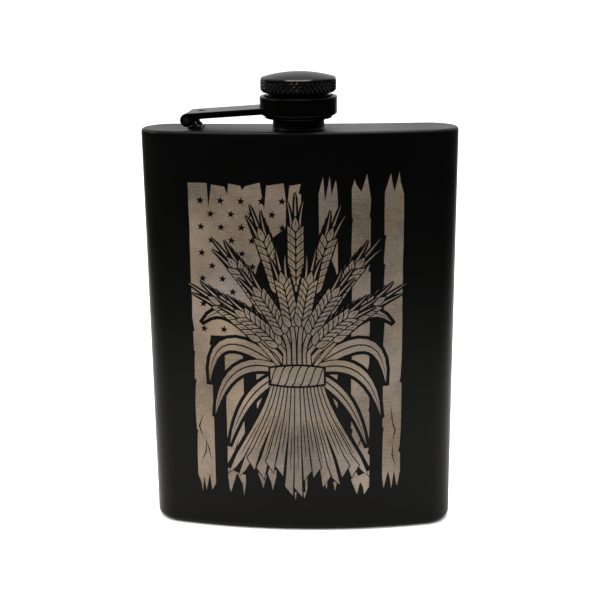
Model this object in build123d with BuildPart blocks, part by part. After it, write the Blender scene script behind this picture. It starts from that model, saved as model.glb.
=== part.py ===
from build123d import *
import math
import os

# Hip flask with a captive screw cap, in millimetres.
# Origin: middle of the base. +X across the width, +Z up, -Y is the convex front.

# Body: a kidney-shaped section of four tangent arcs, drawn straight up.
BODY_W = 98.0
BODY_H = 130.5
FRONT_R = 180.4
BACK_R = 408.8
END_R = 9.33
SHEET = 0.6
TOP_EDGE_R = 1.1
BASE_EDGE_R = 2.35
TOP_LIP = 1.7
BASE_LIP = 2.9

# Neck. Heights from here on are above the top plate.
NECK_BORE_R = 6.2
NECK_SPIGOT_R = 7.0
NECK_SPIGOT_L = 1.2
NECK_FOOT_R = 8.45
NECK_COLLAR_R = 7.9
NECK_COLLAR_H = 2.8
NECK_FLARE_R = 0.55
NECK_BREAK = 0.2
NECK_ROOT_R = 7.1
NECK_CREST_R = 7.6
NECK_H = 10.0
NECK_MOUTH_BREAK = 0.3
THREAD_PITCH = 1.6
THREAD_CREST_W = 0.35
THREAD_FLANK = 0.7
THREAD_BITE = 0.15
THREAD_START_Z = 3.9
NECK_THREAD_L = 4.8
SLEEVE_THREAD_L = 4.4

# Cap sleeve, which hangs round the neck with a gap all the way, so that the cap can swing off it
SLEEVE_FOOT_Z = 3.3
SLEEVE_FOOT_R = 9.15
SLEEVE_R = 9.5
SLEEVE_SHOULDER_R = 9.9
SLEEVE_SHOULDER_Z = 9.2
SLEEVE_WAIST_Z = 10.2
SLEEVE_WAIST_R = 9.3
SLEEVE_ROOT_R = 8.75
SLEEVE_CREST_R = 8.3
SLEEVE_CEILING_Z = 11.1
SLEEVE_TOP_Z = 12.6
LIP_Z = 3.2
LIP_TOP_Z = 3.9
LIP_R = 10.45
LIP_EDGE_R = 0.4
LINER_R = 8.2
LINER_Z = 10.05

# Cap head
HEAD_R = 11.52
HEAD_Z = 11.0
BAND_TOP_Z = 15.4
DOME_EDGE_R = 11.15
DOME_TOP_Z = 17.0
BAND_BEVEL = 0.3

# Arm: a collar that the cap turns in, and a channel down to the hinge
COLLAR_Z = 4.15
COLLAR_TOP_Z = 9.8
COLLAR_R = 11.85
COLLAR_BORE_R = 10.5
COLLAR_FLANGE_R = 9.75
COLLAR_FLANGE_T = 0.8
COLLAR_FOOT_R = 0.8
COLLAR_RIM_R = 0.5
ARM_W = 13.2
ARM_SHEET = 0.7
ARM_DEPTH = 1.95
ARM_EDGE_R = 0.35
ARM_SLOPE = 4.0
ARM_FLARE_R = 5.5
ARM_WEB_START = -0.3
ARM_HOLE_R = 1.35
ARM_HOLE_U = 3.45
KNUCKLE_R = 2.05

# Hinge
PIN_X = -33.4
PIN_Z = 2.88
PIN_R = 0.6
PIN_HEAD_R = 0.9
PIN_HEAD_T = 0.15
PIN_CLEARANCE = 0.05
EAR_R = 1.15
EAR_T = 0.6
EAR_BACK = 0.6
EAR_FOOT_BACK = 1.3
EAR_FOOT_FRONT = 3.2
BRACKET_W = 6.8
BRACKET_L = 3.8
BRACKET_HEEL = 0.3
BRACKET_FOOT_T = 0.6

# Plan of the body's section. Its y is set so that the collar in front and the ends behind reach equally far.
END_X = BODY_W / 2 - END_R
FRONT_ARC = math.sqrt((FRONT_R - END_R) ** 2 - END_X**2)
BACK_ARC = math.sqrt((BACK_R + END_R) ** 2 - END_X**2)
MIDDLE = (FRONT_ARC - FRONT_R + BACK_ARC - BACK_R) / 2
END_Y = (COLLAR_R - END_R - MIDDLE) / 2
FRONT_CENTRE_Y = END_Y + FRONT_ARC
BACK_CENTRE_Y = END_Y + BACK_ARC
AXIS_Y = END_Y + MIDDLE


def middle_y(x):
    """Middle of the body's thickness at this x."""
    front = FRONT_CENTRE_Y - math.sqrt(FRONT_R**2 - x**2)
    back = BACK_CENTRE_Y - math.sqrt(BACK_R**2 - x**2)
    return (front + back) / 2


# The hinge stands on the same middle line, so the arm is turned a little about the cap's axis.
PIN_Y = middle_y(PIN_X)
ARM_TURN = math.atan2(PIN_Y - AXIS_Y, -PIN_X)
ARM_REACH = math.hypot(PIN_X, PIN_Y - AXIS_Y)
PIN_DIR = Vector(math.sin(ARM_TURN), math.cos(ARM_TURN), 0)
LEVEL_DIR = Vector(math.cos(ARM_TURN), -math.sin(ARM_TURN), 0)
CAP_AXIS = Axis((0, AXIS_Y, 0), (0, 0, 1))


def flask_outline(inset):
    """The body's section, this far inside its outer face."""
    end_r = END_R - inset
    reach_f = end_r / (FRONT_R - END_R)
    reach_b = end_r / (BACK_R + END_R)
    front_x = END_X * (1 + reach_f)
    front_y = END_Y + (END_Y - FRONT_CENTRE_Y) * reach_f
    back_x = END_X * (1 - reach_b)
    back_y = END_Y + (BACK_CENTRE_Y - END_Y) * reach_b
    front_mid = (0, FRONT_CENTRE_Y - FRONT_R + inset)
    back_mid = (0, BACK_CENTRE_Y - BACK_R - inset)
    side_x = END_X + end_r
    with BuildSketch() as outline:
        with BuildLine():
            ThreePointArc((-front_x, front_y), front_mid, (front_x, front_y))
            ThreePointArc((front_x, front_y), (side_x, END_Y), (back_x, back_y))
            ThreePointArc((back_x, back_y), back_mid, (-back_x, back_y))
            ThreePointArc((-back_x, back_y), (-side_x, END_Y), (-front_x, front_y))
        make_face()
    return outline.sketch


def on_axis(height):
    """Level plane centred on the cap's axis, at a height above the top plate."""
    return Plane((0, AXIS_Y, BODY_H + height))


def half_section():
    """Upright plane through the cap's axis, where x is the radius and y the height above the plate."""
    return Plane((0, AXIS_Y, BODY_H), x_dir=(1, 0, 0), z_dir=(0, -1, 0))


def hinge_side(offset, slope):
    """Upright plane this far behind the arm's middle. Its origin is on the pin's axis, its x points at
    the cap and rises by the slope in degrees, and its normal points to the front."""
    rise = math.radians(slope)
    along = LEVEL_DIR * math.cos(rise) + Vector(0, 0, math.sin(rise))
    origin = Vector(PIN_X, PIN_Y, BODY_H + PIN_Z) + PIN_DIR * offset
    return Plane(origin, x_dir=along, z_dir=-PIN_DIR)


def thread_tooth(root_r, crest_r):
    """Section of a thread's tooth at its start, from a little under its root out to its flat crest."""
    foot_r = root_r + math.copysign(THREAD_BITE, root_r - crest_r)
    half_crest = THREAD_CREST_W / 2
    half_foot = half_crest + abs(crest_r - foot_r) * THREAD_FLANK
    with BuildSketch(half_section()) as tooth:
        with BuildLine():
            Polyline(
                (foot_r, THREAD_START_Z - half_foot),
                (crest_r, THREAD_START_Z - half_crest),
                (crest_r, THREAD_START_Z + half_crest),
                (foot_r, THREAD_START_Z + half_foot),
                (foot_r, THREAD_START_Z - half_foot),
            )
        make_face()
    return tooth.sketch


def export(part, name):
    """Label a finished piece and write it."""
    part.label = name
    export_step(part, f"parts/{name}.step")


os.makedirs("parts", exist_ok=True)

# ---- Flask body and hinge ---------------------------------------------------------------------

outer_section = flask_outline(0)
inner_section = flask_outline(SHEET)
top_section = flask_outline(TOP_LIP)
base_section = flask_outline(BASE_LIP)

# What the flask holds, with its own rounded edges.
with BuildPart() as cavity:
    with BuildSketch(Plane.XY.offset(SHEET)):
        add(inner_section)
    extrude(amount=BODY_H - 2 * SHEET)
    fillet(cavity.edges().group_by(Axis.Z)[-1], TOP_EDGE_R - SHEET)
    fillet(cavity.edges().group_by(Axis.Z)[0], BASE_EDGE_R - SHEET)
print(f"room inside the body: {cavity.part.volume / 1000:.1f} ml")
print(f"cap axis y {AXIS_Y:.4f}, hinge pin y {PIN_Y:.4f}, pin direction {PIN_DIR}")

# The wrapped side wall, which turns in a little over each end to meet the plates.
with BuildPart() as body_wall:
    with BuildSketch(Plane.XY):
        add(outer_section)
    extrude(amount=BODY_H)
    fillet(body_wall.edges().group_by(Axis.Z)[-1], TOP_EDGE_R)
    fillet(body_wall.edges().group_by(Axis.Z)[0], BASE_EDGE_R)
    add(cavity.part, mode=Mode.SUBTRACT)
    with BuildSketch(Plane.XY.offset(BODY_H - SHEET)):
        add(top_section)
    extrude(amount=SHEET, mode=Mode.SUBTRACT)
    with BuildSketch(Plane.XY):
        add(base_section)
    extrude(amount=SHEET, mode=Mode.SUBTRACT)
export(body_wall.part, "body_wall")

# The top plate fills the wall's upper opening and has the hole that the neck stands in.
with BuildPart() as top_plate:
    with BuildSketch(Plane.XY.offset(BODY_H - SHEET)):
        add(top_section)
    extrude(amount=SHEET)
    with BuildSketch(Plane((0, AXIS_Y, BODY_H))):
        Circle(NECK_SPIGOT_R)
    extrude(amount=-SHEET, mode=Mode.SUBTRACT)
export(top_plate.part, "top_plate")

with BuildPart() as bottom_plate:
    with BuildSketch(Plane.XY):
        add(base_section)
    extrude(amount=SHEET)
export(bottom_plate.part, "bottom_plate")

# The neck is turned from bar: a spigot through the plate, a flared foot, a collar and the thread.
with BuildPart() as neck:
    with BuildSketch(half_section()):
        with BuildLine():
            Polyline(
                (NECK_BORE_R, -NECK_SPIGOT_L),
                (NECK_SPIGOT_R, -NECK_SPIGOT_L),
                (NECK_SPIGOT_R, 0),
                (NECK_FOOT_R, 0),
            )
            RadiusArc((NECK_FOOT_R, 0), (NECK_COLLAR_R, NECK_FLARE_R), NECK_FLARE_R)
            Polyline(
                (NECK_COLLAR_R, NECK_FLARE_R),
                (NECK_COLLAR_R, NECK_COLLAR_H - NECK_BREAK),
                (NECK_COLLAR_R - NECK_BREAK, NECK_COLLAR_H),
                (NECK_ROOT_R, NECK_COLLAR_H),
                (NECK_ROOT_R, NECK_H - NECK_MOUTH_BREAK),
                (NECK_ROOT_R - NECK_MOUTH_BREAK, NECK_H),
                (NECK_BORE_R, NECK_H),
                (NECK_BORE_R, -NECK_SPIGOT_L),
            )
        make_face()
    revolve(axis=CAP_AXIS)
    with BuildLine() as neck_helix:
        Helix(THREAD_PITCH, NECK_THREAD_L, NECK_ROOT_R, center=(0, AXIS_Y, BODY_H + THREAD_START_Z))
    sweep(thread_tooth(NECK_ROOT_R, NECK_CREST_R), path=neck_helix.edge(), is_frenet=True)
export(neck.part, "neck")

# The bracket is folded from strip: a foot on the top plate and two ears, which lean to the pin.
with BuildPart() as hinge_bracket:
    ear_face = BRACKET_W / 2
    with BuildSketch(hinge_side(ear_face, 0)):
        with BuildLine():
            Polyline(
                (EAR_BACK, 0),
                (EAR_BACK, -EAR_R),
                (EAR_FOOT_BACK, BRACKET_FOOT_T - PIN_Z),
                (-BRACKET_HEEL, BRACKET_FOOT_T - PIN_Z),
                (-BRACKET_HEEL, -PIN_Z),
                (BRACKET_L, -PIN_Z),
                (BRACKET_L, BRACKET_FOOT_T - PIN_Z),
                (EAR_FOOT_FRONT, BRACKET_FOOT_T - PIN_Z),
                (EAR_R, 0),
                (EAR_BACK, 0),
            )
        make_face()
        Circle(EAR_R)
        Circle(PIN_R + PIN_CLEARANCE, mode=Mode.SUBTRACT)
    extrude(amount=2 * ear_face)
    with BuildSketch(hinge_side(ear_face - EAR_T, 0)):
        with Locations((0, BRACKET_FOOT_T - PIN_Z)):
            Rectangle(4 * BRACKET_L, 2 * PIN_Z, align=(Align.CENTER, Align.MIN))
    extrude(amount=2 * (ear_face - EAR_T), mode=Mode.SUBTRACT)
export(hinge_bracket.part, "hinge_bracket")

# The arm is one pressed piece: a channel whose cheeks end in round knuckles, and the collar for the cap.
with BuildPart() as cap_arm:
    arm_end = ARM_REACH - math.sqrt(COLLAR_BORE_R**2 - (ARM_W / 2) ** 2)
    underside = KNUCKLE_R - ARM_DEPTH
    flare_x = math.sqrt((KNUCKLE_R + ARM_FLARE_R) ** 2 - (ARM_FLARE_R - underside) ** 2)
    share = KNUCKLE_R / (KNUCKLE_R + ARM_FLARE_R)
    flare_start = (flare_x * share, -(ARM_FLARE_R - underside) * share)
    with BuildSketch(hinge_side(ARM_W / 2, ARM_SLOPE)):
        with BuildLine():
            Line((0, KNUCKLE_R), (arm_end, KNUCKLE_R))
            Line((arm_end, KNUCKLE_R), (arm_end, underside))
            Line((arm_end, underside), (flare_x, underside))
            RadiusArc((flare_x, underside), flare_start, -ARM_FLARE_R)
            ThreePointArc(flare_start, (-KNUCKLE_R, 0), (0, KNUCKLE_R))
        make_face()
    extrude(amount=ARM_W)
    long_edges = cap_arm.edges().filter_by(GeomType.LINE).group_by(SortBy.LENGTH)[-1]
    fillet(long_edges.sort_by(Axis.Z)[-2:], ARM_EDGE_R)
    inside = ARM_W / 2 - ARM_SHEET
    web_under = KNUCKLE_R - ARM_SHEET
    with BuildSketch(hinge_side(inside, ARM_SLOPE)):
        with Locations((ARM_WEB_START, web_under)):
            Rectangle(2 * ARM_REACH, 4 * KNUCKLE_R, align=(Align.MIN, Align.MAX))
        with Locations((ARM_WEB_START, 0)):
            Rectangle(4 * KNUCKLE_R, 4 * KNUCKLE_R, align=(Align.MAX, Align.CENTER))
    extrude(amount=2 * inside, mode=Mode.SUBTRACT)
    with BuildSketch(on_axis(0)):
        Circle(COLLAR_BORE_R + COLLAR_RIM_R)
    extrude(amount=COLLAR_TOP_Z, mode=Mode.SUBTRACT)
    # The collar's own section, with the inner flange that the sleeve's lip carries.
    with BuildSketch(half_section()):
        with BuildLine():
            Polyline(
                (COLLAR_BORE_R, COLLAR_TOP_Z - COLLAR_RIM_R),
                (COLLAR_BORE_R, COLLAR_Z + COLLAR_FLANGE_T),
                (COLLAR_FLANGE_R, COLLAR_Z + COLLAR_FLANGE_T),
                (COLLAR_FLANGE_R, COLLAR_Z),
                (COLLAR_R - COLLAR_FOOT_R, COLLAR_Z),
            )
            CenterArc((COLLAR_R - COLLAR_FOOT_R, COLLAR_Z + COLLAR_FOOT_R), COLLAR_FOOT_R, 270, 90)
            rim_low = COLLAR_TOP_Z - COLLAR_RIM_R
            Line((COLLAR_R, COLLAR_Z + COLLAR_FOOT_R), (COLLAR_R, rim_low))
            CenterArc((COLLAR_R - COLLAR_RIM_R, rim_low), COLLAR_RIM_R, 0, 90)
            Line((COLLAR_R - COLLAR_RIM_R, COLLAR_TOP_Z), (COLLAR_BORE_R + COLLAR_RIM_R, COLLAR_TOP_Z))
            CenterArc((COLLAR_BORE_R + COLLAR_RIM_R, rim_low), COLLAR_RIM_R, 90, 90)
        make_face()
    revolve(axis=CAP_AXIS)
    # The holes: one for the pin through both cheeks, one down through the web.
    with BuildSketch(hinge_side(ARM_W, 0)):
        Circle(PIN_R)
    extrude(amount=2 * ARM_W, mode=Mode.SUBTRACT)
    hole_centre = Vector(PIN_X, PIN_Y, BODY_H) + LEVEL_DIR * ARM_HOLE_U
    with BuildSketch(Plane(hole_centre)):
        Circle(ARM_HOLE_R)
    extrude(amount=COLLAR_TOP_Z, mode=Mode.SUBTRACT)
export(cap_arm.part, "cap_arm")

# The pin is a rivet with a flat head against each cheek.
with BuildPart() as hinge_pin:
    with BuildSketch(hinge_side(ARM_W / 2, 0)):
        Circle(PIN_R)
    extrude(amount=ARM_W)
    for offset in (ARM_W / 2 + PIN_HEAD_T, -ARM_W / 2):
        with BuildSketch(hinge_side(offset, 0)):
            Circle(PIN_HEAD_R)
        extrude(amount=PIN_HEAD_T)
export(hinge_pin.part, "hinge_pin")

# ---- Screw cap --------------------------------------------------------------------------------

# The sleeve carries the cap's thread. The collar turns between its shoulder and the retaining ring.
with BuildPart() as cap_sleeve:
    with BuildSketch(half_section()):
        with BuildLine():
            Polyline(
                (0, SLEEVE_TOP_Z),
                (SLEEVE_WAIST_R, SLEEVE_TOP_Z),
                (SLEEVE_WAIST_R, SLEEVE_WAIST_Z),
                (SLEEVE_SHOULDER_R, SLEEVE_WAIST_Z),
                (SLEEVE_SHOULDER_R, SLEEVE_SHOULDER_Z),
                (SLEEVE_R, SLEEVE_SHOULDER_Z),
                (SLEEVE_R, LIP_TOP_Z),
                (SLEEVE_FOOT_R, LIP_TOP_Z),
                (SLEEVE_FOOT_R, SLEEVE_FOOT_Z),
                (SLEEVE_ROOT_R, SLEEVE_FOOT_Z),
                (SLEEVE_ROOT_R, LINER_Z),
                (LINER_R, LINER_Z),
                (LINER_R, SLEEVE_CEILING_Z),
                (0, SLEEVE_CEILING_Z),
                (0, SLEEVE_TOP_Z),
            )
        make_face()
    revolve(axis=CAP_AXIS)
    with BuildLine() as sleeve_helix:
        Helix(THREAD_PITCH, SLEEVE_THREAD_L, SLEEVE_ROOT_R, center=(0, AXIS_Y, BODY_H + THREAD_START_Z))
    sweep(thread_tooth(SLEEVE_ROOT_R, SLEEVE_CREST_R), path=sleeve_helix.edge(), is_frenet=True)
export(cap_sleeve.part, "cap_sleeve")

with BuildPart() as retaining_ring:
    with BuildSketch(on_axis(LIP_Z)):
        Circle(LIP_R)
        Circle(SLEEVE_FOOT_R, mode=Mode.SUBTRACT)
    extrude(amount=LIP_TOP_Z - LIP_Z)
    fillet(retaining_ring.edges().group_by(Axis.Z)[0].sort_by(SortBy.RADIUS)[-1], LIP_EDGE_R)
export(retaining_ring.part, "retaining_ring")

with BuildPart() as cap_liner:
    with BuildSketch(on_axis(LINER_Z)):
        Circle(LINER_R)
    extrude(amount=SLEEVE_CEILING_Z - LINER_Z)
export(cap_liner.part, "cap_liner")

# The head is pressed over the top of the sleeve. Its top is a shallow dome.
with BuildPart() as cap_head:
    with BuildSketch(half_section()):
        with BuildLine():
            Polyline(
                (0, SLEEVE_TOP_Z),
                (SLEEVE_WAIST_R, SLEEVE_TOP_Z),
                (SLEEVE_WAIST_R, HEAD_Z),
                (HEAD_R - BAND_BEVEL, HEAD_Z),
                (HEAD_R, HEAD_Z + BAND_BEVEL),
                (HEAD_R, BAND_TOP_Z - BAND_BEVEL),
                (DOME_EDGE_R, BAND_TOP_Z),
            )
            dome_rise = DOME_TOP_Z - BAND_TOP_Z
            dome_r = (DOME_EDGE_R**2 + dome_rise**2) / (2 * dome_rise)
            RadiusArc((DOME_EDGE_R, BAND_TOP_Z), (0, DOME_TOP_Z), -dome_r)
            Line((0, DOME_TOP_Z), (0, SLEEVE_TOP_Z))
        make_face()
    revolve(axis=CAP_AXIS)
export(cap_head.part, "cap_head")
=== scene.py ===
import math
import random

import bpy
from mathutils import Matrix, Vector
from mathutils.geometry import delaunay_2d_cdt


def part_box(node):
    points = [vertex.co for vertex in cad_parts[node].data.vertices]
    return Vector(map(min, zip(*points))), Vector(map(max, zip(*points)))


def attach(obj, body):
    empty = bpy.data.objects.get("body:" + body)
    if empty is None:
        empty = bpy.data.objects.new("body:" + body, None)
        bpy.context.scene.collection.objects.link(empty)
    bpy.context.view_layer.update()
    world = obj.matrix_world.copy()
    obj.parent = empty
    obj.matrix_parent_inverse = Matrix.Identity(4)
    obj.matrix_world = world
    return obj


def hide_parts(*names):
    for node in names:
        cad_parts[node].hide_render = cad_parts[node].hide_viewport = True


# Looks of a matte black hip flask with a laser-engraved front. Metres, in the frame of the CAD model.
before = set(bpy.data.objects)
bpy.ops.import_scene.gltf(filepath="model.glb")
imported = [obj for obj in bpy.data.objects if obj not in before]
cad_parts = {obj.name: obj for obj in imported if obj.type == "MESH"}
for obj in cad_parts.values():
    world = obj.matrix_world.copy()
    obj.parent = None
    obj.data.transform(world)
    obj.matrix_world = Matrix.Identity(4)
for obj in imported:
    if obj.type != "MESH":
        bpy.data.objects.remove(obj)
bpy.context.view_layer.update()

MM = 0.001

# ---- Sizes that are shared by several pieces ---------------------------------------------------

_, body_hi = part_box("body_wall")
head_lo, head_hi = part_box("cap_head")
BODY_TOP = body_hi.z
CAP_AXIS_Y = (head_lo.y + head_hi.y) / 2
FRONT_R = 180.4 * MM
BACK_R = 408.8 * MM
END_R = 9.33 * MM
END_X = body_hi.x - END_R
END_Y = body_hi.y - END_R
FRONT_CENTRE_Y = END_Y + math.sqrt((FRONT_R - END_R) ** 2 - END_X**2)
BACK_CENTRE_Y = END_Y + math.sqrt((BACK_R + END_R) ** 2 - END_X**2)
SHEET = 0.6 * MM
TOP_EDGE_R = 1.1 * MM
BASE_EDGE_R = 2.35 * MM
TOP_LIP = 1.7 * MM
BASE_LIP = 2.9 * MM


# ---- Mesh helpers ------------------------------------------------------------------------------

def add_object(name, data):
    """A new object in the scene's own collection."""
    obj = bpy.data.objects.new(name, data)
    bpy.context.scene.collection.objects.link(obj)
    return obj


def piece(name, verts, faces, material, body, smooth_angle):
    """A mesh object that rides on a body, shaded smooth over edges that turn by less than this angle."""
    mesh = bpy.data.meshes.new(name)
    mesh.from_pydata([tuple(v) for v in verts], [], faces)
    mesh.validate()
    obj = add_object(name, mesh)
    mesh.materials.append(material)
    mesh.shade_smooth()
    mesh.set_sharp_from_angle(angle=math.radians(smooth_angle))
    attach(obj, body)
    return obj


def join_rings(a, b, count):
    """Quads between two rings of `count` points each, whose first points are numbers a and b."""
    faces = []
    for i in range(count):
        j = (i + 1) % count
        faces.append((a + i, a + j, b + j, b + i))
    return faces


def used_points(faces):
    """The numbers of the points that faces use, in order, and a new number for each of them."""
    used = sorted({i for face in faces for i in face})
    return used, {old: new for new, old in enumerate(used)}


def arc(centre, radius, start, end, steps):
    """Points on an arc, angles in degrees, both ends included."""
    angles = [math.radians(start + (end - start) * i / steps) for i in range(steps + 1)]
    return [(centre[0] + radius * math.cos(a), centre[1] + radius * math.sin(a)) for a in angles]


# ---- Materials ---------------------------------------------------------------------------------

class Nodes:
    """A small builder for a material's node tree."""

    def __init__(self, name):
        self.material = bpy.data.materials.new(name)
        self.material.use_nodes = True
        self.tree = self.material.node_tree
        self.shader = self.tree.nodes["Principled BSDF"]
        self.place = self.tree.nodes.new("ShaderNodeTexCoord").outputs["Object"]

    def set(self, **values):
        """Constants on the shader, by the names of its inputs."""
        for name, value in values.items():
            self.shader.inputs[name.replace("_", " ")].default_value = value

    def link(self, a, b):
        self.tree.links.new(a, b)

    def colour(self, value):
        self.link(value, self.shader.inputs["Base Color"])

    def roughness(self, value):
        self.link(value, self.shader.inputs["Roughness"])

    def normal(self, value):
        self.link(value, self.shader.inputs["Normal"])

    def noise(self, scale, stretch=(1, 1, 1), detail=3.0, roughness=0.5):
        """Noise in the object's own space, with this many features to a metre."""
        mapping = self.tree.nodes.new("ShaderNodeMapping")
        mapping.inputs["Scale"].default_value = stretch
        self.link(self.place, mapping.inputs["Vector"])
        node = self.tree.nodes.new("ShaderNodeTexNoise")
        node.inputs["Scale"].default_value = scale
        node.inputs["Detail"].default_value = detail
        node.inputs["Roughness"].default_value = roughness
        self.link(mapping.outputs["Vector"], node.inputs["Vector"])
        return node.outputs["Fac"]

    def spread(self, value, low, high, from_low=0.0, from_high=1.0):
        """The value, with the range from_low to from_high stretched to low to high."""
        node = self.tree.nodes.new("ShaderNodeMapRange")
        node.inputs["From Min"].default_value = from_low
        node.inputs["From Max"].default_value = from_high
        node.inputs["To Min"].default_value = low
        node.inputs["To Max"].default_value = high
        self.link(value, node.inputs["Value"])
        return node.outputs["Result"]

    def blend(self, share, a, b):
        node = self.tree.nodes.new("ShaderNodeMix")
        node.inputs["Factor"].default_value = share
        self.link(a, node.inputs["A"])
        self.link(b, node.inputs["B"])
        return node.outputs["Result"]

    def colour_mix(self):
        node = self.tree.nodes.new("ShaderNodeMix")
        node.data_type = "RGBA"
        return node

    def blend_colour(self, factor, low, high):
        node = self.colour_mix()
        node.inputs["A"].default_value = (*low, 1)
        node.inputs["B"].default_value = (*high, 1)
        self.link(factor, node.inputs["Factor"])
        return node.outputs["Result"]

    def multiply_colours(self, a, b):
        node = self.colour_mix()
        node.blend_type = "MULTIPLY"
        node.inputs["Factor"].default_value = 1.0
        self.link(a, node.inputs["A"])
        self.link(b, node.inputs["B"])
        return node.outputs["Result"]

    def bump(self, height, strength, distance):
        node = self.tree.nodes.new("ShaderNodeBump")
        node.inputs["Strength"].default_value = strength
        node.inputs["Distance"].default_value = distance
        self.link(height, node.inputs["Height"])
        return node.outputs["Normal"]


COAT_SPECULAR = 0.065
CAP_SPECULAR = 0.055
DOME_SPECULAR = 0.015
ARM_SPECULAR = 0.024
RIVET_SPECULAR = 0.07
PEBBLE_HEIGHT = 0.03 * MM
GRAIN_HEIGHT = 0.02 * MM
# Heights of the bracket's colour ramp: painted shade under the arm below the first, rubbed bright steel
# above the second.
BRACKET_DARK_BELOW = BODY_TOP + 0.5 * MM
BRACKET_BRIGHT_ABOVE = BODY_TOP + 2.2 * MM


def powder_coat():
    """Fine matte black powder coat: a pebbled skin with faint handling marks."""
    m = Nodes("powder_coat")
    m.set(Specular_IOR_Level=COAT_SPECULAR)
    tone = m.noise(60, detail=4)
    m.colour(m.blend_colour(tone, (0.0006, 0.0006, 0.0006), (0.0014, 0.0013, 0.0013)))
    marks = m.noise(34, detail=6, roughness=0.62)
    m.roughness(m.spread(marks, 0.3, 0.42, 0.3, 0.7))
    pebbles = m.noise(5200, detail=2)
    m.normal(m.bump(pebbles, 0.25, PEBBLE_HEIGHT))
    return m.material


def black_oxide(name, specular):
    """The cap's turned steel, blackened and smoother than the coat."""
    m = Nodes(name)
    m.set(Specular_IOR_Level=specular)
    tone = m.noise(220, detail=5)
    m.colour(m.blend_colour(tone, (0.0006, 0.0006, 0.0006), (0.0018, 0.0016, 0.0015)))
    m.roughness(m.spread(m.noise(700, detail=4), 0.13, 0.21))
    m.normal(m.bump(m.noise(4200, detail=2), 0.2, GRAIN_HEIGHT))
    return m.material


def engraved_steel():
    """Stainless steel laid bare by the laser: fine level grain, mottling and slow changes of tone."""
    m = Nodes("engraved_steel")
    m.set(Metallic=1.0)
    streaks = m.noise(1.0, stretch=(240, 240, 3400), detail=4, roughness=0.6)
    mottle = m.noise(1900, detail=3, roughness=0.6)
    cloud = m.noise(42, detail=4, roughness=0.55)
    fine = m.blend(0.45, streaks, mottle)
    share = m.spread(m.blend(0.5, fine, cloud), 0, 1, 0.38, 0.62)
    tone = m.blend_colour(share, (0.106, 0.09, 0.077), (0.305, 0.256, 0.212))
    patches = m.spread(m.noise(58, detail=2), 0, 1, 0.36, 0.64)
    tint = m.blend_colour(patches, (0.98, 1.0, 1.05), (1.06, 1.0, 0.88))
    m.colour(m.multiply_colours(tone, tint))
    m.roughness(m.spread(streaks, 0.55, 0.7, 0.3, 0.7))
    m.normal(m.bump(fine, 0.4, GRAIN_HEIGHT))
    return m.material


def worn_black():
    """The rivet's blackened heads, dulled by handling."""
    m = Nodes("worn_black")
    m.set(Specular_IOR_Level=RIVET_SPECULAR)
    m.colour(m.blend_colour(m.noise(1600, detail=4), (0.004, 0.004, 0.003), (0.012, 0.011, 0.01)))
    m.roughness(m.spread(m.noise(900), 0.4, 0.55))
    return m.material


def painted_shade_rubbed_steel():
    """The bracket's steel: darkened on its foot as painted shade under the arm, and rubbed brighter towards
    the tops of its ears.
    """
    m = Nodes("painted_shade_rubbed_steel")
    m.set(Metallic=1.0)
    height = m.tree.nodes.new("ShaderNodeSeparateXYZ")
    m.link(m.place, height.inputs["Vector"])
    # Painted shade: the colour darkens by height alone towards the foot, under the arm, and turns to rubbed
    # steel towards the ear tops.
    shade_to_rub = m.spread(height.outputs["Z"], 0, 1, BRACKET_DARK_BELOW, BRACKET_BRIGHT_ABOVE)
    # Noise breaks the painted shade and the rubbed wear into patches.
    shade_and_wear = m.blend(0.35, shade_to_rub, m.spread(m.noise(900, detail=4), 0, 1, 0.35, 0.65))
    m.colour(m.blend_colour(shade_and_wear, (0.008, 0.008, 0.009), (0.2, 0.19, 0.175)))
    grain = m.noise(1.0, stretch=(300, 2600, 2600), detail=3)
    m.roughness(m.spread(grain, 0.26, 0.42))
    return m.material


def rubber():
    """The soft off-white sealing disc."""
    m = Nodes("seal_rubber")
    m.colour(m.blend_colour(m.noise(300), (0.6, 0.59, 0.55), (0.7, 0.69, 0.65)))
    m.roughness(m.spread(m.noise(900), 0.5, 0.65))
    return m.material


coat = powder_coat()
oxide = black_oxide("black_oxide", CAP_SPECULAR)
dome_oxide = black_oxide("black_oxide_dome", DOME_SPECULAR)
arm_oxide = black_oxide("black_oxide_arm", ARM_SPECULAR)
engraving = engraved_steel()
rivet = worn_black()
# The bracket's material holds painted shade low on it and rubbed wear high on it.
bracket = painted_shade_rubbed_steel()
seal = rubber()
CAD_MATERIALS = {
    "top_plate": coat,
    "bottom_plate": coat,
    "neck": coat,
    "cap_arm": arm_oxide,
    "hinge_bracket": bracket,
    "hinge_pin": rivet,
    "cap_head": oxide,
    "cap_sleeve": oxide,
    "retaining_ring": oxide,
    "cap_liner": seal,
}
for node, material in CAD_MATERIALS.items():
    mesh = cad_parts[node].data
    mesh.materials.clear()
    mesh.materials.append(material)


# ---- Body --------------------------------------------------------------------------------------

FRONT_STEPS, END_STEPS, BACK_STEPS = 120, 28, 100


def section(inset):
    """The body's closed section this far inside its outer face, anticlockwise from the front left."""
    reach_f = math.degrees(math.asin(END_X / (FRONT_R - END_R)))
    reach_b = math.degrees(math.asin(END_X / (BACK_R + END_R)))
    r = END_R - inset
    front_face = arc((0, FRONT_CENTRE_Y), FRONT_R - inset, 270 - reach_f, 270 + reach_f, FRONT_STEPS)
    right_end = arc((END_X, END_Y), r, reach_f - 90, 90 + reach_b, END_STEPS)
    back_face = arc((0, BACK_CENTRE_Y), BACK_R + inset, 270 + reach_b, 270 - reach_b, BACK_STEPS)
    left_end = arc((-END_X, END_Y), r, 90 - reach_b, 270 - reach_f, END_STEPS)
    return front_face[:-1] + right_end[:-1] + back_face[:-1] + left_end[:-1]


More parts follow.
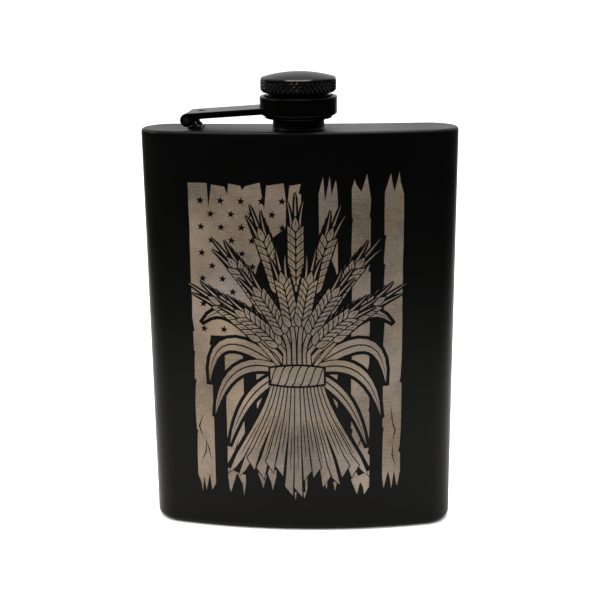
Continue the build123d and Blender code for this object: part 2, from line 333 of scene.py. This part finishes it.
def wall_profile():
    """Insets and heights round the sheet's own section: up the outside, over the lip and down inside."""
    base_centre, top_centre = (BASE_EDGE_R, BASE_EDGE_R), (TOP_EDGE_R, BODY_TOP - TOP_EDGE_R)
    outer_base = arc(base_centre, BASE_EDGE_R, 270, 180, steps=10)
    outer_top = arc(top_centre, TOP_EDGE_R, 180, 90, steps=8)
    inner_top = arc(top_centre, TOP_EDGE_R - SHEET, 90, 180, steps=4)
    inner_base = arc(base_centre, BASE_EDGE_R - SHEET, 180, 270, steps=5)
    lip_top = [(TOP_LIP, BODY_TOP), (TOP_LIP, BODY_TOP - SHEET)]
    lip_base = [(BASE_LIP, SHEET), (BASE_LIP, 0)]
    return outer_base + outer_top + lip_top + inner_top + inner_base + lip_base


def make_body_wall():
    profile = wall_profile()
    verts = []
    for inset, z in profile:
        verts += [(x, y, z) for x, y in section(inset)]
    count = len(verts) // len(profile)
    faces = []
    for r in range(len(profile)):
        faces += join_rings(r * count, (r + 1) % len(profile) * count, count)
    wall = piece("body_wall_coated", verts, faces, coat, "flask", smooth_angle=40)
    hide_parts("body_wall")


make_body_wall()


# ---- Engraving on the front --------------------------------------------------------------------
# It is drawn flat in millimetres, with x across the front and z up from the base, and then bent on to the
# front. Each shape covers the ones before it, with steel or with coat. HALO and LINE are the widths of coat
# left round a leaf and round a finer shape, and POINTED is the width of a ribbon's sharp end.

STEEL, COAT = True, False
POINTED = 0.02
STRIPES, STRIPE_W, STRIPE_STEP, STRIPE_FIRST = 7, 5.8, 10.0, -30.8
TORN_DEPTH = 8.0
PANEL_RIGHT, PANEL_LOW, PANEL_HIGH = 1.0, 66.5, 115.0
PANEL_LEFT = STRIPE_FIRST - STRIPE_W / 2
STAR_ROWS, STAR_COLUMNS, STAR_STEP_X, STAR_STEP_Z = 12, 5, 6.3, 4.1
STAR_MARGIN_X, STAR_MARGIN_TOP = 3.7, 5.4
STAR_R, STAR_NOTCH, STAR_TURN = 1.35, 0.42, 8
SHEAF_X, TIE_Z = -0.8, 54.0
TIE_TOP, TIE_FOOT = 3.0, -3.6
STRAWS, STRAW_STEPS = 15, 7
GRAIN_PAIRS, GRAIN_L, GRAIN_W = 7, 4.3, 2.0
BLADE_STEPS = 12
HALO = 1.1
LINE = 0.35
ENGRAVING_PROUD, ENGRAVING_DEPTH = 0.025 * MM, 0.15 * MM
BEND_STEP = 3.0


def area(points):
    return sum(a.x * b.y - b.x * a.y for a, b in zip(points, points[1:] + points[:1])) / 2


def anticlockwise(points):
    points = [Vector(p) for p in points]
    kept = [p for i, p in enumerate(points) if (p - points[i - 1]).length > 1e-3]
    return kept if area(kept) > 0 else kept[::-1]


def grown(points, margin):
    """The outline moved outwards by a margin."""
    points = anticlockwise(points)
    moved = []
    for i, p in enumerate(points):
        before = (p - points[i - 1]).normalized()
        after = (points[(i + 1) % len(points)] - p).normalized()
        out = Vector((before.y + after.y, -before.x - after.x))
        if out.length < 1e-4:
            out = before
        reach = min(2 / max(out.length, 0.1), 2)
        moved.append(p + out.normalized() * margin * reach)
    return moved


def heading(degrees):
    """Unit vector this far clockwise from straight up."""
    turn = math.radians(degrees)
    return Vector((math.sin(turn), math.cos(turn)))


def bezier(a, b, c, d, steps):
    a, b, c, d = Vector(a), Vector(b), Vector(c), Vector(d)
    line = []
    for i in range(steps + 1):
        t = i / steps
        s = 1 - t
        line.append(a * s**3 + b * 3 * s * s * t + c * 3 * s * t * t + d * t**3)
    return line


def ribbon(spine, widths):
    """Outline of a band that follows the spine, with its width at each point."""
    left, right = [], []
    last = len(spine) - 1
    for i, p in enumerate(spine):
        along = (spine[min(i + 1, last)] - spine[max(i - 1, 0)]).normalized()
        side = Vector((-along.y, along.x)) * widths[i] / 2
        left.append(p + side)
        right.append(p - side)
    return left + right[::-1]


def blade(a, b, c, d, width):
    """A leaf along a curve, narrow at its near end and pointed at its far end."""
    widths = []
    for i in range(BLADE_STEPS + 1):
        t = i / BLADE_STEPS
        widths.append(width * math.sin(math.pi * min(1, 0.12 + 0.88 * t)) ** 0.75)
    widths[-1] = POINTED
    return ribbon(bezier(a, b, c, d, BLADE_STEPS), widths)


class Drawing:
    """The engraving's shapes, in the order they are laid down."""

    def __init__(self, seed):
        self.shapes = []
        self.rng = random.Random(seed)

    def add(self, points, tone):
        self.shapes.append((anticlockwise(points), tone))

    def torn_end(self, x0, x1, z, depth):
        """Points of a torn edge from x0 to x1, with shards that reach up to this depth from z."""
        shards = self.rng.choice((2, 2, 3))
        points = []
        for i in range(shards):
            start, width = i / shards, 1 / shards
            peak = start + width * self.rng.uniform(0.25, 0.75)
            points.append((x0 + (x1 - x0) * start, z + depth * self.rng.uniform(0.0, 0.3)))
            points.append((x0 + (x1 - x0) * (peak - 0.06), z + depth * self.rng.uniform(0.45, 0.7)))
            points.append((x0 + (x1 - x0) * peak, z + depth * self.rng.uniform(0.7, 1.0)))
        return points + [(x1, z + depth * self.rng.uniform(0.1, 0.6))]

    def worn_edge(self, x, z0, z1, inward):
        """Points up an edge at x, a little uneven, with a notch here and there."""
        points = []
        z = z0
        step = math.copysign(1, z1 - z0)
        while True:
            z += step * self.rng.uniform(4.5, 8)
            if (z1 - z) * step < 3:
                return points
            points.append((x + self.rng.uniform(-0.1, 0.1), z))
            if self.rng.random() < 0.28:
                depth = inward * self.rng.uniform(0.35, 0.8)
                points.append((x + depth, z + step * 0.3))
                points.append((x + depth * 0.4, z + step * 2.2))
                z += step * 2.4

    def stripe(self, x, low, high, torn_top):
        """An upright stripe, torn below and scratched near its lower end."""
        left, right = x - STRIPE_W / 2, x + STRIPE_W / 2
        points = self.torn_end(left, right, low, -TORN_DEPTH)
        points += self.worn_edge(right, low, high, -1)
        if torn_top:
            points += self.torn_end(right, left, high, TORN_DEPTH)
        else:
            points += [(right, high), (left, high)]
        points += self.worn_edge(left, high, low, 1)
        self.add(points, STEEL)
        for _ in range(3):
            z = self.rng.uniform(low, low + 16)
            lean = self.rng.uniform(-0.3, 0.3)
            slit = [Vector((x + self.rng.uniform(-1.9, 1.9) + lean * k, z + 4.5 * k)) for k in range(3)]
            self.add(ribbon(slit, [POINTED, self.rng.uniform(0.3, 0.55), POINTED]), COAT)

    def star(self, x, z):
        points = []
        for i in range(10):
            r = STAR_R if i % 2 == 0 else STAR_R * STAR_NOTCH
            points.append(Vector((x, z)) + heading(STAR_TURN + 36 * i) * r)
        self.add(points, COAT)

    def panel(self):
        """A panel over the left stripes, torn along its top and filled with rows of stars."""
        points = [(PANEL_LEFT + 0.6, PANEL_LOW), (PANEL_RIGHT, PANEL_LOW)]
        points += self.worn_edge(PANEL_RIGHT, PANEL_LOW, PANEL_HIGH, -1)
        points.append((PANEL_RIGHT, PANEL_HIGH))
        x = PANEL_RIGHT - self.rng.uniform(3, 5)
        while x > PANEL_LEFT + 5:
            tear, gape = self.rng.choice((2.0, 3.5, 8.0)), self.rng.uniform(0.6, 1.3)
            points.append((x + gape, PANEL_HIGH + self.rng.uniform(-0.8, 0.6)))
            points.append((x + self.rng.uniform(-0.5, 0.5), PANEL_HIGH - tear))
            points.append((x - gape, PANEL_HIGH + self.rng.uniform(-1.2, 0.6)))
            x -= self.rng.uniform(5, 9)
        points.append((PANEL_LEFT, PANEL_HIGH))
        points += self.worn_edge(PANEL_LEFT, PANEL_HIGH, PANEL_LOW, 1)
        self.add(points, STEEL)
        for row in range(STAR_ROWS):
            for column in range(STAR_COLUMNS):
                shift = STAR_STEP_X / 2 if row % 2 else 0
                x = PANEL_LEFT + STAR_MARGIN_X + STAR_STEP_X * column + shift
                if x < PANEL_RIGHT - STAR_R:
                    self.star(x, PANEL_HIGH - STAR_MARGIN_TOP - STAR_STEP_Z * row)

    def grain(self, foot, turn):
        """One grain of barley, outlined by shares of its length and width, with a slit up its middle."""
        along, across = heading(turn), heading(turn + 90)
        half = [(0.0, 0.18), (0.14, 0.36), (0.34, 0.5), (0.56, 0.43), (0.78, 0.25), (1.0, 0.02)]
        right = [foot + along * GRAIN_L * u + across * GRAIN_W * v for u, v in half]
        left = [foot + along * GRAIN_L * u - across * GRAIN_W * v for u, v in half]
        outline = right + left[::-1]
        self.add(grown(outline, LINE), COAT)
        self.add(outline, STEEL)
        slit = [foot + along * GRAIN_L * u for u in (0.3, 0.55, 0.8)]
        self.add(ribbon(slit, [POINTED, 0.24, POINTED]), COAT)

    def ear(self, foot, turn, length, awn):
        """An ear of barley: grains in pairs and one at the tip, each with a bristle, its awn."""
        step = length / (GRAIN_PAIRS + 1)
        spine = [foot]
        bend = turn * 0.05
        for i in range(GRAIN_PAIRS + 1):
            spine.append(spine[-1] + heading(turn + bend * i) * step)
        for i in range(GRAIN_PAIRS + 1):
            direction = turn + bend * i
            for side in (-1, 1) if i < GRAIN_PAIRS else (0,):
                tip = spine[i] + heading(direction + 20 * side) * 3.4
                lean = direction + side * (9 - 0.5 * i)
                hair = bezier(tip, tip + heading(lean) * awn * 0.4, tip + heading(lean) * awn * 0.7,
                              tip + heading(lean + 3 * side) * awn, 4)
                widths = [0.62, 0.52, 0.4, 0.24, 0.05]
                self.add(ribbon(hair, [w + 1.3 for w in widths[:-1]] + [0.7]), COAT)
                self.add(ribbon(hair, widths), STEEL)
        for i in range(GRAIN_PAIRS, -1, -1):
            direction = turn + bend * i
            for side in (-1, 1) if i < GRAIN_PAIRS else (0,):
                base = spine[i] + heading(direction + 90) * side * 0.55
                self.grain(base, direction + 25 * side)


def on_arch(foot, half_width, low, rise, angles):
    """Angles from upright, each with its point on an ellipse whose centre is `low` above the foot."""
    points = []
    for a in angles:
        turn = math.radians(a)
        points.append((a, foot + Vector((half_width * math.sin(turn), low + rise * math.cos(turn)))))
    return points


def straw_spines(art, foot):
    """Curves of the cut straw below the tie, from left to right."""
    spines = []
    for i in range(STRAWS):
        s = (i - STRAWS // 2) / (STRAWS // 2)
        length = art.rng.uniform(30, 38) - 3.5 * abs(s)
        end = foot + Vector((21.5 * s, -3 - length))
        spines.append(bezier(foot + Vector((7.4 * s, -2)), foot + Vector((9 * s, -12)),
                             foot + Vector((15.5 * s, -3 - 0.6 * length)), end, STRAW_STEPS))
    return spines


def draw_straw(art, spine):
    """One straw, wider towards its end, which is cut at a slant."""
    end = STRAW_STEPS
    band = ribbon(spine, [1.15 + 0.19 * k for k in range(end + 1)])
    slant = Vector((0, art.rng.choice((-1, 1)) * 1.6))
    band[end] = band[end] + slant
    band[end + 1] = band[end + 1] - slant
    art.add(grown(band, LINE), COAT)
    art.add(band, STEEL)
    art.add(ribbon(spine[3:7], [POINTED, 0.3, 0.3, POINTED]), COAT)


def leaf_curves(foot):
    """The four points of each leaf's curve, and its width."""
    leaves = []
    for side in (-1, 1):
        for curve, width in (
            (((3.5, 1), (14, 10), (27, 17), (28, -3)), 4.2),
            (((3.5, 1), (12, 5), (23, 5), (26.5, -14)), 3.8),
            (((3.5, 1), (9, -2), (17, -5), (22, -24)), 3.2),
            (((3.5, 1), (12, 14), (22, 26), (29.5, 17)), 3.4),
        ):
            leaves.append(([foot + Vector((x * side, z)) for x, z in curve], width))
    return leaves


def draw_tie(art, foot):
    """The band round the sheaf's waist, bowed a little and cut by slanting slashes."""
    tie = []
    for s in range(-8, 9):
        tie.append(foot + Vector((s * 1.05, TIE_TOP - 0.012 * s * s)))
    for s in range(8, -9, -1):
        tie.append(foot + Vector((s * 1.05, TIE_FOOT + 0.012 * s * s)))
    art.add(grown(tie, 0.7), COAT)
    art.add(tie, STEEL)
    for s in range(-3, 4):
        slash = bezier(foot + Vector((2.5 * s - 1.6, TIE_FOOT)), foot + Vector((2.5 * s - 0.2, -2.4)),
                       foot + Vector((2.5 * s - 0.2, 1.8)), foot + Vector((2.5 * s + 1.4, TIE_TOP)), 6)
        art.add(ribbon(slash, [0.5, 0.42, 0.36, 0.34, 0.36, 0.42, 0.5]), COAT)


def barley(art):
    """A sheaf: ears fanned out over a twisted tie, leaves to the sides and cut straw below."""
    foot = Vector((SHEAF_X, TIE_Z))
    back = on_arch(foot, half_width=11.5, low=6, rise=23.5, angles=(-76, -52, -26, 0, 26, 52, 76))
    front = on_arch(foot, half_width=6.5, low=4, rise=12.5, angles=(-62, -39, -13, 13, 39, 62))
    ground = on_arch(foot, half_width=14, low=21, rise=27, angles=range(0, 360, 15))
    art.add([point for _, point in ground], COAT)

    straws = straw_spines(art, foot)
    for spine in straws:
        art.add(ribbon(spine, [4.6] * (STRAW_STEPS + 1)), COAT)
    leaves = leaf_curves(foot)
    for curve, width in leaves:
        art.add(grown(blade(*curve, width), HALO), COAT)

    for i in sorted(range(STRAWS), key=lambda k: -abs(k - STRAWS // 2)):
        draw_straw(art, straws[i])
    for curve, width in leaves:
        art.add(grown(blade(*curve, width), LINE), COAT)
        art.add(blade(*curve, width), STEEL)
        art.add(blade(*curve, 0.5), COAT)

    # Each ear has its lean, its foot, its length and the length of its bristles.
    ears = [(a * 0.56, base, 19.5, 8.5) for a, base in back]
    ears += [(a * 0.68, base, 15.5, 8.0) for a, base in front]
    for turn, base, *_ in ears:
        stem = bezier(foot + Vector((turn * 0.09, 1)), foot + Vector((turn * 0.1, 8)),
                      base - heading(turn) * 5, base, 6)
        art.add(ribbon(stem, [1.9] * 7), COAT)
        art.add(ribbon(stem, [1.1] * 7), STEEL)
    for turn, base, length, awn in ears:
        art.ear(base, turn, length, awn)
    draw_tie(art, foot)


def engraving_shapes():
    art = Drawing(seed=11)
    for i in range(STRIPES):
        x = STRIPE_FIRST + STRIPE_STEP * i
        low = art.rng.uniform(18.5, 22)
        if x < PANEL_RIGHT:
            art.stripe(x, low, PANEL_LOW + 1, torn_top=False)
        else:
            art.stripe(x, low, art.rng.uniform(109, 112), torn_top=True)
    art.panel()
    barley(art)
    return art.shapes


def steel_triangles(shapes):
    """The flat triangles left as steel, cut along upright lines so that they can bend with the front."""
    verts, edges, faces = [], [], []
    for points, tone in shapes:
        faces.append(list(range(len(verts), len(verts) + len(points))))
        verts += points
    reach = max(abs(v.x) for v in verts)
    for i in range(-int(reach / BEND_STEP), int(reach / BEND_STEP) + 1):
        edges.append((len(verts), len(verts) + 1))
        verts += [Vector((i * BEND_STEP, 0)), Vector((i * BEND_STEP, BODY_TOP / MM))]
    flat, _, triangles, _, _, sources = delaunay_2d_cdt(verts, edges, faces, 1, 1e-4)
    kept = [t for t, source in zip(triangles, sources) if source and shapes[max(source)][1] == STEEL]
    return flat, kept


def make_engraving():
    """One thin piece, set into the front and a hair proud of it."""
    flat, triangles = steel_triangles(engraving_shapes())
    used, number = used_points(triangles)
    count = len(used)
    verts = []
    for proud in (ENGRAVING_PROUD, -ENGRAVING_DEPTH):
        for i in used:
            x, z = flat[i].x * MM, flat[i].y * MM
            verts.append((x, FRONT_CENTRE_Y - math.sqrt((FRONT_R + proud) ** 2 - x * x), z))
    faces = []
    sides = {}
    for t in triangles:
        a, b, c = (number[i] for i in t)
        faces.append((a, b, c))
        faces.append((c + count, b + count, a + count))
        sides.update(dict.fromkeys(((a, b), (b, c), (c, a))))
    for a, b in sides:
        if (b, a) not in sides:
            faces.append((b, a, a + count, b + count))
    piece("front_engraving", verts, faces, engraving, "flask", smooth_angle=30)


make_engraving()


# ---- Cap head ----------------------------------------------------------------------------------

KNURLS = 45
KNURL_ROWS = 2
KNURL_DEPTH = 0.3 * MM
KNURL_FLAT = 0.4
BAND_BEVEL = 0.3 * MM
RIM_H = 0.4 * MM
RIM_BEVEL = 0.04 * MM
BAND_TOP = head_hi.z - 1.6 * MM
HEAD_R = (head_hi.x - head_lo.x) / 2
DOME_EDGE_R = HEAD_R - 0.42 * MM
DOME_RINGS = 12
DOME_CROWN_R = 0.15 * MM
WAIST_R = 9.3 * MM
CEILING_R = 0.3 * MM
SLEEVE_TOP = head_lo.z + 1.6 * MM


def on_ring(radius, z, step, count):
    """Point on a circle round the cap's axis, `step` of `count` equal parts round."""
    turn = 2 * math.pi * step / count
    return (radius * math.cos(turn), CAP_AXIS_Y + radius * math.sin(turn), z)


def make_cap_head():
    """A shallow dome over a band of diamond knurling, with a hollow under it for the sleeve's top."""
    count = 2 * KNURLS
    low, high = head_lo.z + BAND_BEVEL, BAND_TOP - RIM_H
    rows = 2 * KNURL_ROWS
    root_r = HEAD_R - KNURL_DEPTH
    verts, faces = [], []

    def ring(radius, z):
        verts.extend(on_ring(radius, z, i, count) for i in range(count))
        return len(verts) - count

    ceiling = ring(CEILING_R, SLEEVE_TOP)
    faces.append(tuple(range(ceiling, ceiling + count)))
    bore_top = ring(WAIST_R, SLEEVE_TOP)
    bore_low = ring(WAIST_R, head_lo.z)
    under = ring(root_r - BAND_BEVEL, head_lo.z)
    lattice = [ring(root_r, low + (high - low) * j / rows) for j in range(rows + 1)]
    shoulder = ring(HEAD_R - RIM_BEVEL, high + RIM_BEVEL)
    edge = ring(DOME_EDGE_R, BAND_TOP)
    for a, b in ((ceiling, bore_top), (bore_top, bore_low), (bore_low, under), (under, lattice[0]),
                 (lattice[-1], shoulder), (shoulder, edge)):
        faces += join_rings(a, b, count)
    rise = head_hi.z - BAND_TOP
    dome_r = (DOME_EDGE_R**2 + rise**2) / (2 * rise)
    last = edge
    first_dome_face = len(faces)
    for k in range(DOME_RINGS - 1, -1, -1):
        r = max(DOME_EDGE_R * k / DOME_RINGS, DOME_CROWN_R)
        following = ring(r, head_hi.z - dome_r + math.sqrt(dome_r**2 - r**2))
        faces += join_rings(last, following, count)
        last = following
    faces.append(tuple(range(last, last + count)))
    dome_faces = range(first_dome_face, len(faces))

    def flat_corner(i, j):
        """A corner of a diamond's flat tip, at a place on the lattice."""
        verts.append(on_ring(HEAD_R, low + (high - low) * j / rows, i, count))
        return len(verts) - 1

    for j in range(rows + 1):
        for i in range(count):
            if (i + j) % 2 == 0:
                continue
            left, right = (i - 1) % count, (i + 1) % count
            if j in (0, rows):
                border = (lattice[j] + left, lattice[j] + i, lattice[j] + right)
                faces.append((*border, lattice[1] + i) if j == 0 else (*border[::-1], lattice[-2] + i))
                continue
            outer = (lattice[j] + left, lattice[j - 1] + i, lattice[j] + right, lattice[j + 1] + i)
            s = KNURL_FLAT
            inner = tuple(flat_corner(i + u, j + v) for u, v in ((-s, 0), (0, -s), (s, 0), (0, s)))
            faces.append(inner)
            for k in range(4):
                n = (k + 1) % 4
                faces.append((outer[k], outer[n], inner[n], inner[k]))
    used, number = used_points(faces)
    faces = [tuple(number[i] for i in face) for face in faces]
    verts = [verts[i] for i in used]
    head = piece("cap_head_knurled", verts, faces, oxide, "cap", smooth_angle=25)
    head.data.materials.append(dome_oxide)
    for i in dome_faces:
        head.data.polygons[i].material_index = 1
    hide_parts("cap_head")


make_cap_head()


# ---- Stage, lights and camera ------------------------------------------------------------------

# The room is dark low on the camera's side, and brightens along this direction.
WORLD_FRONT, WORLD_TOP = 0.06, 2.5
WORLD_DIRECTION = (0, 0.32, 1.25)
WORLD_DARK_UNTIL, WORLD_BRIGHT_FROM = 0.08, 1.25
SOFTBOX_COLOUR = (1, 0.95, 0.88)

# Half the floor's width is this much abreast of the camera, and grows by a share of each metre beyond.
FLOOR_NEAR, FLOOR_FAR = -0.2, 40.0
FLOOR_HALF_W, FLOOR_WIDENS, FLOOR_WIDENS_FROM = 0.12, 0.36, -0.35

CAMERA_AT = (16.45 * MM, END_Y - 354.65 * MM, 176.92 * MM)
CAMERA_LENS, CAMERA_SENSOR = 68.83, 36
CAMERA_PITCH, CAMERA_BEARING, CAMERA_ROLL = 0.2803, 0.0472, -0.0105


def stage_material():
    m = Nodes("pale_floor")
    m.set(Roughness=0.9, Specular_IOR_Level=0.1)
    m.colour(m.blend_colour(m.noise(3), (0.86, 0.86, 0.86), (0.88, 0.88, 0.88)))
    return m.material


def make_floor():
    """A pale floor about as wide as the camera sees, so that the front and ends mirror the dark room."""
    corners = []
    for y in (FLOOR_NEAR, FLOOR_FAR):
        half = FLOOR_HALF_W + FLOOR_WIDENS * (y - FLOOR_WIDENS_FROM)
        corners += [(-half, y, 0), (half, y, 0)]
    mesh = bpy.data.meshes.new("floor")
    mesh.from_pydata(corners, [], [(0, 1, 3, 2)])
    mesh.materials.append(stage_material())
    add_object("floor", mesh)


def area_light(name, place, target, size, power):
    data = bpy.data.lights.new(name, "AREA")
    data.shape = "RECTANGLE"
    data.size, data.size_y = size
    data.energy = power
    data.color = SOFTBOX_COLOUR
    light = add_object(name, data)
    light.location = place
    light.rotation_euler = (Vector(target) - Vector(place)).to_track_quat("-Z", "Y").to_euler()


def make_world():
    """A room that is bright above the flask and darker on the camera's side. The camera sees it as white."""
    world = bpy.data.worlds.new("studio")
    bpy.context.scene.world = world
    world.use_nodes = True
    nodes, links = world.node_tree.nodes, world.node_tree.links
    direction = nodes.new("ShaderNodeVectorMath")
    direction.operation = "DOT_PRODUCT"
    direction.inputs[1].default_value = WORLD_DIRECTION
    links.new(nodes.new("ShaderNodeTexCoord").outputs["Generated"], direction.inputs[0])
    depth = nodes.new("ShaderNodeMapRange")
    depth.inputs["From Min"].default_value = WORLD_DARK_UNTIL
    depth.inputs["From Max"].default_value = WORLD_BRIGHT_FROM
    depth.inputs["To Min"].default_value = WORLD_FRONT
    depth.inputs["To Max"].default_value = WORLD_TOP
    links.new(direction.outputs["Value"], depth.inputs["Value"])
    seen = nodes.new("ShaderNodeMix")
    seen.inputs["B"].default_value = 1.0
    links.new(nodes.new("ShaderNodeLightPath").outputs["Is Camera Ray"], seen.inputs["Factor"])
    links.new(depth.outputs["Result"], seen.inputs["A"])
    links.new(seen.outputs["Result"], nodes["Background"].inputs["Strength"])
    nodes["Background"].inputs["Color"].default_value = (1, 1, 1, 1)


def make_lights():
    """A wide softbox straight overhead, and a small one to the left that picks out the knurling."""
    area_light("overhead", (0, -0.01, 0.75), (0, 0, 0.13), size=(0.44, 0.1), power=6)
    area_light("window", (-0.69, -0.13, 0.53), (0, 0, 0.14), size=(0.3, 0.3), power=4)


def make_camera():
    """In front of the flask and a little to its right, above its cap and tilted down towards it."""
    data = bpy.data.cameras.new("camera")
    data.sensor_width = CAMERA_SENSOR
    data.lens = CAMERA_LENS
    camera = add_object("camera", data)
    camera.location = CAMERA_AT
    turn = Matrix.Rotation(CAMERA_BEARING, 4, "Z") @ Matrix.Rotation(math.pi / 2 - CAMERA_PITCH, 4, "X")
    camera.rotation_euler = (turn @ Matrix.Rotation(CAMERA_ROLL, 4, "Z")).to_euler()
    bpy.context.scene.camera = camera


make_floor()
make_world()
make_lights()
make_camera()
bpy.context.scene.view_settings.view_transform = "Standard"
